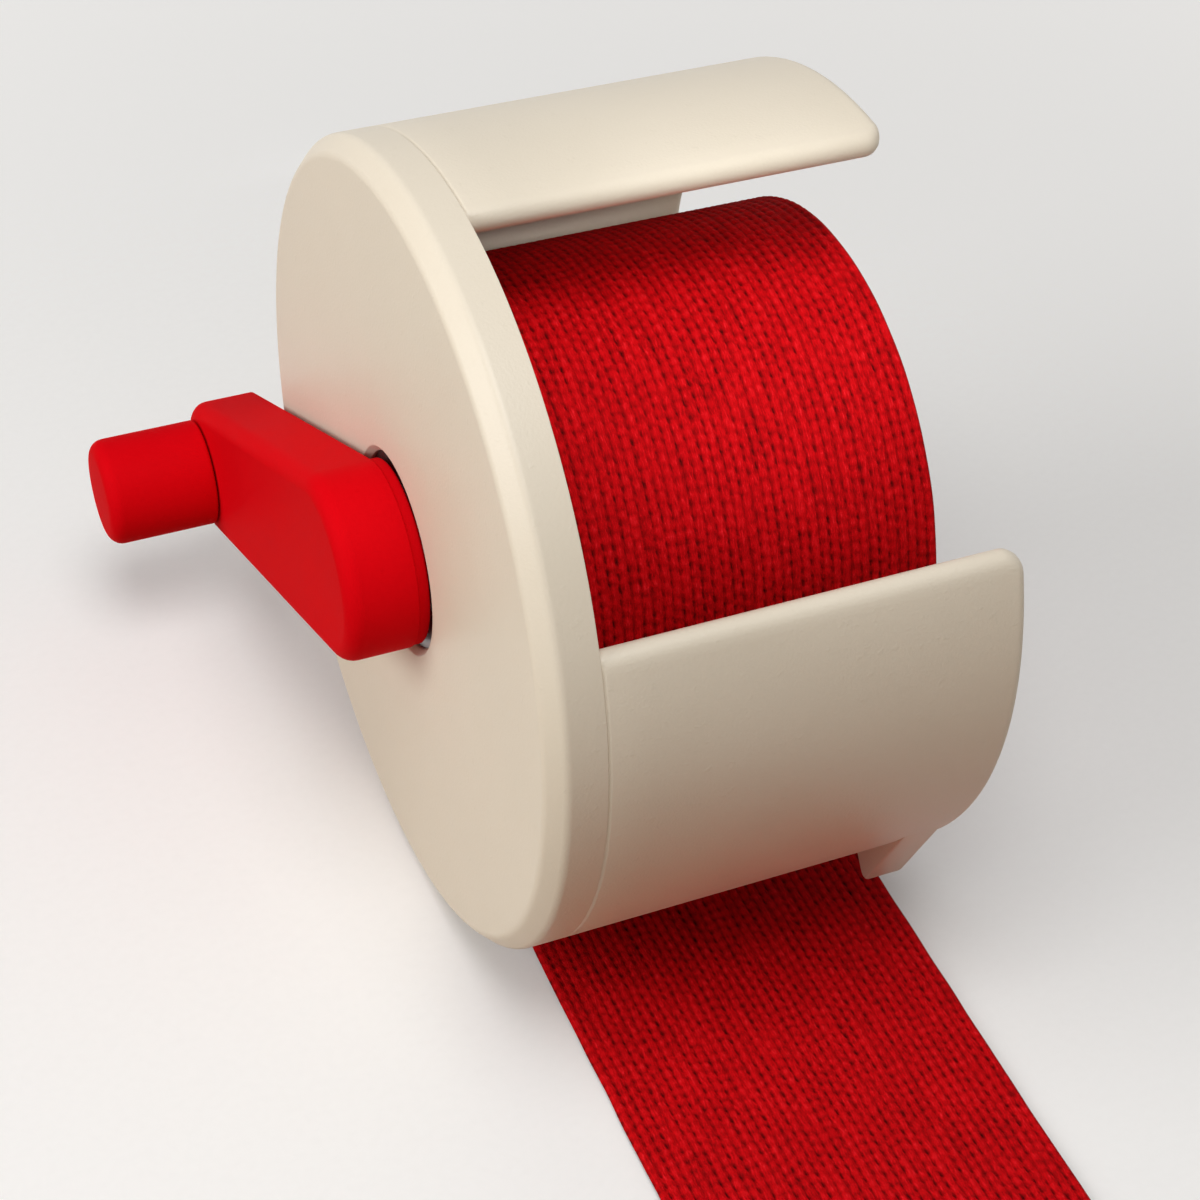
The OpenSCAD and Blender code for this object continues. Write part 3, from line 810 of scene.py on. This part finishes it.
end_angle = -25
layer_edge = 0.22 * MM
layer_loop = [(0, -layer_t / 2 + layer_edge), (0, layer_t / 2 - layer_edge),
              (layer_edge, layer_t / 2), (wrap_w - layer_edge, layer_t / 2),
              (wrap_w, layer_t / 2 - layer_edge), (wrap_w, -layer_t / 2 + layer_edge),
              (wrap_w - layer_edge, -layer_t / 2), (layer_edge, -layer_t / 2)]
rows, lay = [], []
length = 0
for i in range(int(layer_turns * layer_steps) + 1):
    turn = i / layer_steps
    radius = bore_r + layer_t / 2 + layer_pitch * turn
    length += 2 * math.pi * radius / layer_steps
    lay += [(across, length, 0.7) for across, height in layer_loop]
    rows.append([ring_point(end_angle - 360 * turn, radius + height, roll_x + drift(turn) + across)
                 for across, height in layer_loop])
layers = sewn("wrap_layers", rows, lay, "roll", "wrap_cloth", "wrap_core", sharp=50)
print(f"{layer_turns:.1f} turns, {length:.2f} m of cloth")

# %% [markdown]
# The outer turns are what the window shows, so they carry the ribs in their mesh. They spiral inwards
# from the place where the tail leaves the roll, a little looser than the layers below.

# %% Outer turns of the roll
turn_pitch, outer_turns, hidden_steps = 1.34 * MM, 1.6, 100
shown_steps = int(2 * math.pi * roll_r / stitch_row)
turns = [i / shown_steps for i in range(shown_steps)]
turns += [1 + i / hidden_steps for i in range(round((outer_turns - 1) * hidden_steps) + 1)]
rows, lay = [], []
length, before = 0, 0
for turn in turns:
    radius = roll_r - wrap_t / 2 - turn_pitch * turn
    length += 2 * math.pi * radius * (turn - before)
    before = turn
    sway = drift(turn * 2) * 0.5
    row = cloth_row(length, knitted if turn < 1 else smooth)
    rows.append([ring_point(leave_angle + 360 * turn, radius + height, roll_x + sway + across)
                 for across, height, high in row])
    lay += [(across, length, high) for across, height, high in row]
outer = sewn("wrap_outer", rows, lay, "roll", "wrap_cloth", "wrap_outer_turn")
print(f"outer turns: {length:.3f} m of cloth")

# %% [markdown]
# The strip's inner end is pushed between the two prongs of the fork, which is how winding starts.

# %% Inner end in the fork
reach, caught_bow = 7.9 * MM, 0.5 * MM
rows, lay = [], []
end_turn = math.radians(end_angle)
caught_steps = round(2 * reach / stitch_row)
for i in range(caught_steps + 1):
    run = -reach + 2 * reach * i / caught_steps
    bow = caught_bow * math.sin(math.pi * run / reach)
    row = []
    for across, height, high in cloth_row(run):
        side = bow + height
        row.append(Vector((roll_x + across, run * math.cos(end_turn) - side * math.sin(end_turn),
                           axis_z + run * math.sin(end_turn) + side * math.cos(end_turn))))
        lay.append((across, run, high))
    rows.append(row)
caught = sewn("wrap_caught_end", rows, lay, "roll", "wrap_cloth", "wrap_inner_end")

# %% [markdown]
# The tail leaves the roll below, slants down through the slot and lies flat in front of the drum.
# Its path is a line, a bend and another line, each in steps of a quarter of a stitch.

# %% Path of the tail
slope = math.radians(leave_angle - 270)
tail_gap, bend_r, tail_end = 0.4 * MM, 20 * MM, -112 * MM
leave_r = roll_r + tail_gap + wrap_t / 2
leave_turn = math.radians(leave_angle)
leave = Vector((leave_r * math.cos(leave_turn), axis_z + leave_r * math.sin(leave_turn)))
flat_z = wrap_t / 2
corner_y = leave.x - (leave.y - flat_z) / math.tan(slope)
bend_mid = Vector((corner_y - bend_r * math.tan(slope / 2), flat_z + bend_r))
bend_start = bend_mid + bend_r * Vector((math.sin(slope), -math.cos(slope)))
path = []
line_steps = round((bend_start - leave).length / stitch_row)
for i in range(line_steps):
    path.append((leave.lerp(bend_start, i / line_steps), slope))
bend_steps = round(bend_r * slope / stitch_row)
for i in range(bend_steps):
    turn = slope * (1 - i / bend_steps)
    path.append((bend_mid + bend_r * Vector((math.sin(turn), -math.cos(turn))), turn))
flat_start, flat_end = bend_mid - Vector((0, bend_r)), Vector((tail_end, flat_z))
flat_steps = round((flat_end - flat_start).length / stitch_row)
for i in range(flat_steps + 1):
    path.append((flat_start.lerp(flat_end, i / flat_steps), 0.0))
print("path of the tail:", len(path), "places")

# %% [markdown]
# Cloth that has been wound doesn't lie dead flat, so the tail sways to the side and lifts in low waves,
# by a fraction of a millimetre. The waves grow from nothing where the tail leaves the roll.

# %% Tail
tail_sway, sway_run = 0.25 * MM, 19 * MM
tail_lift, lift_run, lift_grows = 0.12 * MM, 13 * MM, 40 * MM
rows, lay = [], []
length = 0
for i, (spot, turn) in enumerate(path):
    if i:
        length += (spot - path[i - 1][0]).length
    sway = tail_sway * (1 + math.sin(length / sway_run)) / 2
    row = []
    for across, height, high in cloth_row(length):
        wave = 1 + math.sin(length / lift_run + 4 * across / wrap_w)
        lift = tail_lift * wave * min(1, length / lift_grows)
        row.append(Vector((roll_x + sway + across, spot.x - height * math.sin(turn),
                           max(spot.y + height * math.cos(turn) + lift, 0))))
        lay.append((across, length, high))
    rows.append(row)
tail = sewn("wrap_tail_strip", rows, lay, "tail", "wrap_cloth", "wrap_tail")

# %% [markdown]
# At the strip's outer end a loop of tape goes round the thumb: a straight run, a half circle and
# a straight run back. It is swept like the tail, lying flat on the ground.

# %% Thumb loop
tape_w, loop_w, loop_l = 9 * MM, 34 * MM, 60 * MM
loop_x = (roll_x + roll_far) / 2
loop_r = (loop_w - tape_w) / 2
round_y = tail_end - loop_l + loop_w / 2
straight_steps, round_steps = 20, 32
tape_path = []
for i in range(straight_steps):
    y = tail_end + (round_y - tail_end) * i / straight_steps
    tape_path.append((Vector((loop_x - loop_r, y)), Vector((1, 0))))
for i in range(round_steps + 1):
    turn = math.pi + math.pi * i / round_steps
    outward = Vector((math.cos(turn), math.sin(turn)))
    tape_path.append((Vector((loop_x, round_y)) + loop_r * outward, -outward))
for i in range(1, straight_steps + 1):
    y = round_y + (tail_end - round_y) * i / straight_steps
    tape_path.append((Vector((loop_x + loop_r, y)), Vector((-1, 0))))
rows, lay = [], []
length = 0
for i, (spot, inward) in enumerate(tape_path):
    if i:
        length += (spot - tape_path[i - 1][0]).length
    row = []
    for across, height, high in cloth_row(length, fine_ribs, tape_w, 36, 6):
        at = spot + inward * (across - tape_w / 2)
        row.append(Vector((at.x, at.y, wrap_t / 2 + height)))
        lay.append((across, length, high))
    rows.append(row)
loop = sewn("thumb_tape", rows, lay, "tail", "loop_tape", "thumb_loop")
print(f"thumb loop: {length:.3f} m of tape")

# %% [markdown]
# A patch covers the place where the loop is sewn on. It is a thin pad whose upper edge is rounded, made
# from the same outline at several heights, each set in by a little.

# %% Patch
patch_w, patch_l, patch_t, patch_corner = loop_w, 16 * MM, 0.7 * MM, 1.6 * MM
patch_z = wrap_t
patch_steps = [(0.1 * MM, 0), (0, 0.15 * MM), (0, 0.4 * MM), (0.12 * MM, 0.58 * MM), (0.4 * MM, patch_t)]


def patch_row(inset, rise):
    half_w, half_l = patch_w / 2 - inset, patch_l / 2 - inset
    outline = rounded([(x * half_w, y * half_l, patch_corner) for x, y in SQUARE], 5)
    return [Vector((loop_x + a, tail_end + b, patch_z + rise)) for a, b in outline]


def patch_lay(rows):
    """Places on the patch, measured from its middle."""
    return [(p.x - loop_x, p.y - tail_end, 1) for row in rows for p in row]


patch_rows = [patch_row(inset, rise) for inset, rise in patch_steps]
patch = sewn("thumb_patch", patch_rows, patch_lay(patch_rows), "tail", "loop_tape", "loop_patch", sharp=32)

# %% [markdown]
# The patch is held by a seam round its edge and two across it. Each stitch is a short thread that
# swells and rises in its middle, and sinks into the cloth at both ends.

# %% Stitches of the patch
thread_pitch, thread_r, thread_rise, seam_inset = 2.2 * MM, 0.2 * MM, 0.12 * MM, 2 * MM


def stitch_line(start, end, z, steps=6, sides=8):
    """Row of short threads from one point to another."""
    run = end - start
    count = round(run.length / thread_pitch)
    heading = run.normalized()
    side = Vector((-heading.y, heading.x))
    made = []
    for i in range(count):
        rows = []
        for k in range(steps + 1):
            swell = math.sin(math.pi * k / steps)
            at = start + run * (i + 0.12 + 0.76 * k / steps) / count
            girth = thread_r * (0.35 + 0.65 * swell)
            middle = z + thread_rise * swell
            turns = [2 * math.pi * n / sides for n in range(sides)]
            rows.append([Vector((*(at + side * girth * math.cos(t)), middle + girth * math.sin(t)))
                         for t in turns])
        made.append(skin("stitch", rows, lay=patch_lay(rows)))
    return made


seam_w, seam_l = patch_w / 2 - seam_inset, patch_l / 2 - seam_inset
seam_corners = [Vector((loop_x + x * seam_w, tail_end + y * seam_l)) for x, y in SQUARE]
threads = []
for start, end in ((0, 1), (1, 2), (2, 3), (3, 0), (0, 2), (1, 3)):
    threads += stitch_line(seam_corners[start], seam_corners[end], patch_z + patch_t)
stitches = dressed("patch_seam", threads, "tail", "loop_tape")
print(len(threads), "stitches")

# %% Sizes and finish
low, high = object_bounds()
print("dressed box in mm:", [round(1000 * (b - a), 1) for a, b in zip(low, high)])
